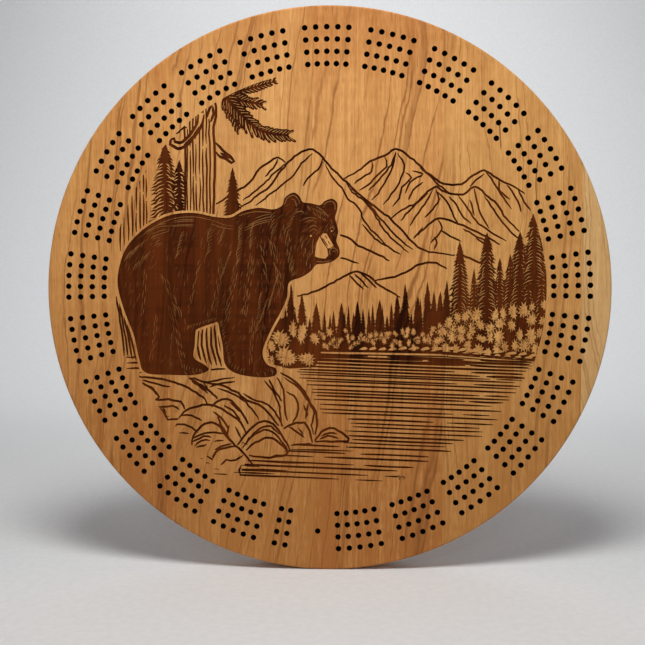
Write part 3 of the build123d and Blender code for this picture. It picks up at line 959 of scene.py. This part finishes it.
class Graph:
    """A material and short ways to add nodes to it."""

    def __init__(self, name, **shader):
        self.material = bpy.data.materials.new(name)
        self.material.use_nodes = True
        self.tree = self.material.node_tree
        self.shader = self.tree.nodes["Principled BSDF"]
        for socket, value in shader.items():
            self.shader.inputs[socket.replace("_", " ")].default_value = value

    def link(self, value, socket):
        """Joins a node's output to a socket, or sets the socket to a plain value."""
        if isinstance(value, bpy.types.NodeSocket):
            self.tree.links.new(value, socket)
        else:
            socket.default_value = value

    def node(self, kind, inputs, output=0, **settings):
        node = self.tree.nodes.new(kind)
        for key, value in settings.items():
            setattr(node, key, value)
        for socket, value in inputs.items():
            self.link(value, node.inputs[socket])
        return node.outputs[output]

    def place(self, scale=(1, 1, 1), shift=(0, 0, 0)):
        """Object coordinates in metres, stretched and shifted."""
        coordinates = self.node("ShaderNodeTexCoord", {}, "Object")
        return self.node("ShaderNodeMapping", {"Vector": coordinates, "Scale": scale, "Location": shift})

    def axes(self, shift):
        """The x, y and z of the object coordinates, shifted."""
        parts = self.tree.nodes.new("ShaderNodeSeparateXYZ")
        self.link(self.place(shift=shift), parts.inputs[0])
        return parts.outputs

    def noise(self, scale, shift=(0, 0, 0), detail=2.0, roughness=0.5):
        """Noise between 0 and 1 whose grains are 1 / scale metres along each axis."""
        inputs = {"Vector": self.place(scale, shift), "Scale": 1.0, "Detail": detail, "Roughness": roughness}
        return self.node("ShaderNodeTexNoise", inputs, "Fac")

    def math(self, operation, a, b=0.0, c=0.0):
        return self.node("ShaderNodeMath", {0: a, 1: b, 2: c}, operation=operation)

    def vary(self, value, noise, amount):
        """The value, moved up or down by up to half the amount as the noise goes."""
        return self.math("MULTIPLY_ADD", self.math("SUBTRACT", noise, 0.5), amount, value)

    def fade(self, value, low, high, to_low=0.0, to_high=1.0):
        """Maps low..high smoothly to to_low..to_high."""
        inputs = {"Value": value, "From Min": low, "From Max": high, "To Min": to_low, "To Max": to_high}
        return self.node("ShaderNodeMapRange", inputs, interpolation_type="SMOOTHSTEP")

    def mix(self, factor, a, b):
        """A colour between two others."""
        node = self.tree.nodes.new("ShaderNodeMix")
        node.data_type = "RGBA"
        for value, index in ((factor, 0), (a, 6), (b, 7)):
            self.link(value, node.inputs[index])
        return node.outputs[2]

    def bump(self, height, distance, strength=1.0):
        """Bumps of the given height in metres."""
        normal = self.node("ShaderNodeBump", {"Height": height, "Distance": distance, "Strength": strength})
        self.link(normal, self.shader.inputs["Normal"])

    def colour(self, value):
        self.link(value, self.shader.inputs["Base Color"])

    def roughness(self, value):
        self.link(value, self.shader.inputs["Roughness"])


class Grain:
    """The noises and lines that a piece of cherry is coloured by. Slant is how far the grain leans."""

    def __init__(self, wood, slant, shift, pitch):
        def along_grain(scale, detail=2.0, roughness=0.5):
            return wood.noise(scale, (shift, 0, 0), detail, roughness)

        self.x, y, self.z = wood.axes((shift, 0, 0))
        self.sway = wood.noise((7, 7, 2.6), (shift * 3, 0, shift))
        wander = wood.noise((40, 30, 13), (0, shift, 0), 6.0, 0.6)
        across = wood.math("MULTIPLY_ADD", self.z, slant, wood.math("MULTIPLY_ADD", y, 0.55, self.x))
        across = wood.vary(wood.vary(across, self.sway, 0.085), wander, 0.011)
        rings = wood.math("DIVIDE", across, pitch)
        inputs = {"W": rings, "Scale": 0.5, "Detail": 3.0, "Roughness": 0.6}
        self.bands = wood.node("ShaderNodeTexNoise", inputs, "Fac", noise_dimensions="1D")
        counted = wood.math("MULTIPLY_ADD", self.bands, 3.5, wood.math("MULTIPLY", rings, 0.9))
        self.contour = wood.math("ABSOLUTE", wood.math("SUBTRACT", wood.math("FRACT", counted), 0.5))
        ring_line = wood.fade(self.contour, 0.0, 0.13, 1.0, 0.0)
        broken = wood.fade(wood.noise((60, 60, 14), (0, 0, shift)), 0.3, 0.6)
        self.late = wood.math("MULTIPLY", ring_line, broken)
        self.fibre = along_grain((1500, 1500, 24), 3.0, 0.6)
        self.streak = along_grain((420, 420, 9), 4.0, 0.7)
        self.broad = along_grain((60, 60, 5))
        self.figure = along_grain((60, 60, 160), 3.0)
        self.fleck = along_grain((750, 750, 150))
        self.pores = wood.fade(along_grain((2600, 2600, 90), 1.0), 0.66, 0.74)
        self.raster = wood.fade(along_grain((14, 14, 280), 3.0), 0.44, 0.62, 0.0, 0.55)


def bare_wood(wood, grain, light, dark, ring, lines, band):
    """The colour of the wood where it isn't burnt, with painted shade darkening it towards the board's foot,
    and darker towards its top.
    """
    tone = wood.fade(grain.bands, 0.25, 0.75, 0.2, 0.5)
    for noise, amount in ((grain.broad, 0.55), (grain.streak, 1.5), (grain.figure, 0.45), (grain.fleck, 0.8)):
        tone = wood.vary(tone, noise, amount)
    # Painted shade: the wood turns towards its dark colour over the lower half of the face, down to the foot.
    tone = wood.math("ADD", wood.fade(grain.z, 0.02, 0.2, 0.62, 0.0), tone)
    tone = wood.math("ADD", wood.fade(grain.z, 0.29, 0.35, 0.0, 0.45), tone)
    if band:
        band_middle, half_width, foot = band
        swayed = wood.math("MULTIPLY_ADD", grain.sway, 0.02, grain.x)
        beside = wood.math("ABSOLUTE", wood.math("SUBTRACT", swayed, band_middle))
        within = wood.fade(beside, half_width * 0.6, half_width, 0.7, 0.0)
        tone = wood.math("ADD", wood.math("MULTIPLY", within, wood.fade(grain.z, foot, foot + 0.03)), tone)
    colour = wood.mix(tone, light, dark)
    colour = wood.mix(wood.math("MULTIPLY", grain.late, lines), colour, ring)
    colour = wood.mix(wood.fade(grain.fibre, 0.35, 0.72, 0.0, 0.4), colour, dark)
    return wood.mix(wood.math("MULTIPLY", grain.pores, 0.5), colour, ring)


def burnt_wood(wood, grain):
    """The colour of the burnt parts, streaked with the wood's own grain."""
    vein = wood.math("MULTIPLY", wood.fade(grain.contour, 0.06, 0.26, 1.0, 0.0),
                     wood.fade(grain.sway, 0.35, 0.6, 0.6, 0.9))
    colour = wood.mix(wood.fade(grain.streak, 0.3, 0.7), srgb(96, 41, 13), srgb(66, 26, 6))
    colour = wood.mix(grain.raster, colour, srgb(44, 18, 5))
    colour = wood.mix(vein, colour, srgb(26, 8, 2))
    colour = wood.mix(wood.fade(grain.broad, 0.35, 0.7, 0.0, 0.75), colour, srgb(116, 55, 18))
    return wood.mix(wood.fade(grain.fibre, 0.3, 0.75, 0.0, 0.35), colour, srgb(40, 13, 4))


def cherry(name, light, dark, ring, slant, shift, lines=0.5, pitch=0.011, band=None):
    """Oiled cherry with upright grain, burnt where the mesh says so.

    Lines is how strong the growth rings are and pitch how far apart, in metres. Band is the middle, half
    width and foot of a broad dark streak.
    """
    matt, hole_char_and_shade_colour = (0.85, 0.85, 0.85, 1.0), srgb(12, 8, 6)
    wood = Graph(name)
    grain = Grain(wood, slant, shift, pitch)
    burn = wood.node("ShaderNodeAttribute", {}, "Fac", attribute_name="burn", attribute_type="GEOMETRY")
    burnt = wood.fade(burn, BARE, BURNT)
    body = bare_wood(wood, grain, srgb(*light), srgb(*dark), srgb(*ring), lines, band)
    colour = wood.mix(burnt, body, burnt_wood(wood, grain))
    # Near black in the peg holes: charred walls, darkened further as painted shade of the deep holes.
    wood.colour(wood.mix(wood.fade(burn, 1.2, 1.8), colour, hole_char_and_shade_colour))
    wood.roughness(wood.mix(burnt, wood.fade(grain.fibre, 0.2, 0.8, 0.46, 0.6), matt))
    wood.link(wood.fade(burn, BARE, BURNT, 0.16, 0.05), wood.shader.inputs["Specular IOR Level"])
    raised, sunk = wood.math("MULTIPLY", grain.fibre, 0.4), wood.math("MULTIPLY", grain.pores, 0.8)
    wood.bump(wood.math("SUBTRACT", raised, sunk), 0.00012, 0.6)
    return wood.material


def brushed_metal(name, tint, along, roughness):
    """Brushed or turned metal: along is how much finer its scratches are across each axis."""
    metal = Graph(name, Metallic=1.0)
    scratches = metal.noise(tuple(4000 * a for a in along), detail=3.0, roughness=0.7)
    smudges = metal.noise((70, 70, 70), detail=3.0)
    shaded = [0.88 * c for c in tint]
    metal.colour(metal.mix(metal.fade(scratches, 0.3, 0.7), srgb(*tint), srgb(*shaded)))
    polish = metal.fade(scratches, 0.25, 0.75, roughness - 0.08, roughness + 0.1)
    metal.roughness(metal.math("ADD", polish, metal.fade(smudges, 0.4, 0.7, 0.0, 0.08)))
    metal.bump(scratches, 0.00001, 0.5)
    return metal.material


def rubber(name):
    """Moulded black rubber with dust in its fine texture."""
    foot = Graph(name, Specular_IOR_Level=0.3)
    grain = foot.noise((3500, 3500, 3500), detail=3.0)
    dust = foot.noise((240, 240, 240), detail=4.0, roughness=0.65)
    foot.colour(foot.mix(foot.fade(dust, 0.5, 0.8, 0.0, 0.35), srgb(30, 30, 31), srgb(72, 70, 67)))
    foot.roughness(foot.fade(dust, 0.3, 0.75, 0.62, 0.82))
    foot.bump(grain, 0.00005, 0.6)
    return foot.material


def peg_plastic(name, colour):
    """Glossy injection-moulded plastic with faint flow marks and handling wear."""
    peg = Graph(name, Specular_IOR_Level=0.5, Coat_Weight=0.3, Coat_Roughness=0.12)
    flow = peg.noise((300, 300, 60), detail=3.0)
    wear = peg.noise((900, 900, 900), detail=4.0)
    peg.colour(peg.mix(peg.fade(flow, 0.35, 0.7, 0.0, 0.35), srgb(*colour), srgb(*(0.8 * c for c in colour))))
    peg.roughness(peg.fade(wear, 0.35, 0.75, 0.2, 0.38))
    peg.bump(wear, 0.00002, 0.4)
    return peg.material


def dress(material, *nodes):
    """Gives CAD nodes a material in place of their plain one."""
    for node in nodes:
        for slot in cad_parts[node].material_slots:
            slot.material = material


# The staves' cherry, from left to right: the colours of light and dark wood and of the rings, then the rest.
# The dark colour of each also paints the shade towards the board's foot.
cherries = {
    "left_edge": ((228, 166, 96), (182, 116, 57), (136, 80, 36), -0.08, 0.31, 0.75),
    "left": ((230, 172, 104), (186, 123, 62), (140, 84, 38), -0.16, 1.93, 0.75),
    "centre": ((230, 168, 99), (180, 115, 56), (134, 78, 34), -0.12, 2.83, 0.8, 0.013, (0.076, 0.0085, 0.25)),
    "right": ((228, 170, 101), (186, 126, 64), (142, 88, 42), -0.02, 4.19, 0.7, 0.009),
    "sapwood": ((232, 188, 128), (204, 154, 94), (150, 104, 58), 0.05, 5.61, 0.6, 0.008),
}
# Metals: name, colour, direction of the scratches, roughness and the pieces made of it.
metals = [
    ("brushed_cover", (176, 174, 170), (0.02, 1, 1), 0.3, ["cover_plate"]),
    ("zinc_plate", (190, 191, 192), (1, 1, 1), 0.26, ["pivot_screw", "cover_washer", "foot_screws"]),
    ("turned_brass", (214, 178, 96), (1, 0.05, 1), 0.26, ["threaded_insert"]),
    ("shim_steel", (160, 158, 154), (1, 1, 1), 0.38, ["cover_shim"]),
    ("nickel_plate", (214, 208, 200), (1, 1, 1), 0.14, ["catch_magnet"]),
]
peg_colours = {"red": (178, 30, 30), "blue": (34, 66, 160), "green": (30, 122, 56), "yellow": (236, 190, 44)}


def finish_materials(staves):
    """Materials of every stave and every other node."""
    for stave, (name, look) in zip(staves, cherries.items()):
        stave.data.materials.append(cherry("cherry_" + name, *look))
    for name, tint, along, roughness, nodes in metals:
        dress(brushed_metal(name, tint, along, roughness), *nodes)
    dress(rubber("foot_rubber"), "foot_upper_left", "foot_upper_right", "foot_lower_left", "foot_lower_right")
    for colour, tint in peg_colours.items():
        dress(peg_plastic("peg_" + colour + "_plastic", tint), *(f"peg_{colour}_{n}" for n in (1, 2, 3)))


# ---------------- camera, floor and light

def add_camera():
    """A camera just above the board's centre, about 0.57 m in front, looking slightly down."""
    tilt, yaw, roll = radians(2.678), radians(-1.784), radians(0.04)
    centre_in_view = Vector((3.0, 19.7, -567.1)) * MM
    to_view = Matrix.Rotation(roll, 3, "Z") @ Matrix.Rotation(yaw, 3, "Y") @ Matrix.Rotation(tilt, 3, "X")
    to_world = Matrix(((1, 0, 0), (0, 0, -1), (0, 1, 0)))
    from_view = to_world @ to_view.transposed()
    data = bpy.data.cameras.new("photo_camera")
    data.sensor_width, data.lens = 36.0, 50.23
    data.clip_start, data.clip_end = 0.01, 20.0
    camera = bpy.data.objects.new("photo_camera", data)
    place = Vector((0, face_y, centre_height)) - from_view @ centre_in_view
    camera.matrix_world = Matrix.Translation(place) @ from_view.to_4x4()
    bpy.context.collection.objects.link(camera)
    bpy.context.scene.camera = camera


def add_sweep():
    """A pale studio floor that curves up into a backdrop well behind the board."""
    width, front, back, bend, height = 8.0, -4.0, 1.6, 0.9, 3.2
    bend_pieces = 16
    profile = [(front, 0.0), (back - bend, 0.0)]
    for i in range(1, bend_pieces + 1):
        turn = pi / 2 * i / bend_pieces
        profile.append((back - bend + bend * sin(turn), bend - bend * cos(turn)))
    profile.append((back, height))
    corners = [(side * width / 2, y, z) for y, z in profile for side in (-1, 1)]
    faces = [(2 * i, 2 * i + 1, 2 * i + 3, 2 * i + 2) for i in range(len(profile) - 1)]
    mesh = bpy.data.meshes.new("studio_sweep")
    mesh.from_pydata(corners, [], faces)
    for polygon in mesh.polygons:
        polygon.use_smooth = True
    paper = Graph("studio_paper", Roughness=0.9, Specular_IOR_Level=0.15)
    fine = paper.noise((220, 220, 220), detail=3.0)
    paper.colour(paper.mix(paper.fade(fine, 0.3, 0.7), srgb(240, 241, 242), srgb(235, 236, 237)))
    mesh.materials.append(paper.material)
    sweep = bpy.data.objects.new("studio_sweep", mesh)
    bpy.context.collection.objects.link(sweep)


def add_light(name, kind, place, target, power, **settings):
    """A light at a place, facing a target."""
    data = bpy.data.lights.new(name, kind)
    data.energy = power
    for key, value in settings.items():
        setattr(data, key, value)
    light = bpy.data.objects.new(name, data)
    light.location = place
    light.rotation_euler = (Vector(target) - Vector(place)).to_track_quat("-Z", "Y").to_euler()
    bpy.context.collection.objects.link(light)


def add_lights():
    """A softbox above the front of the board, a pale sky, a spot on the backdrop and a softbox behind."""
    world = bpy.data.worlds.new("studio_sky")
    world.use_nodes = True
    background = world.node_tree.nodes["Background"]
    background.inputs["Color"].default_value = srgb(222, 224, 228)
    background.inputs["Strength"].default_value = 0.2
    bpy.context.scene.world = world
    middle = (0, 0, centre_height)
    upper = (0.03, 0, centre_height + 0.15 * board_radius * MM)
    crown = (0, 0, centre_height + 0.4 * board_radius * MM)
    soft_spot = {"spot_blend": 1.0, "shadow_soft_size": 0.2}
    add_light("key_softbox", "AREA", (-0.02, -0.34, 0.76), crown, 4.0, shape="SQUARE", size=0.26,
              color=(1.0, 0.985, 0.96))
    add_light("face_spot", "SPOT", (0, -1.1, 0.75), upper, 11, spot_size=radians(20), **soft_spot)
    add_light("back_softbox", "AREA", (0.3, 1.2, 1.3), middle, 0.8, shape="SQUARE", size=0.8)
    add_light("backdrop_spot", "SPOT", (0, 0.7, 2.2), (0, 1.6, 0.6), 102, spot_size=radians(96), **soft_spot)


bpy.context.scene.view_settings.view_transform = "Standard"
add_camera()
add_sweep()
add_lights()
finish_materials(build_staves())
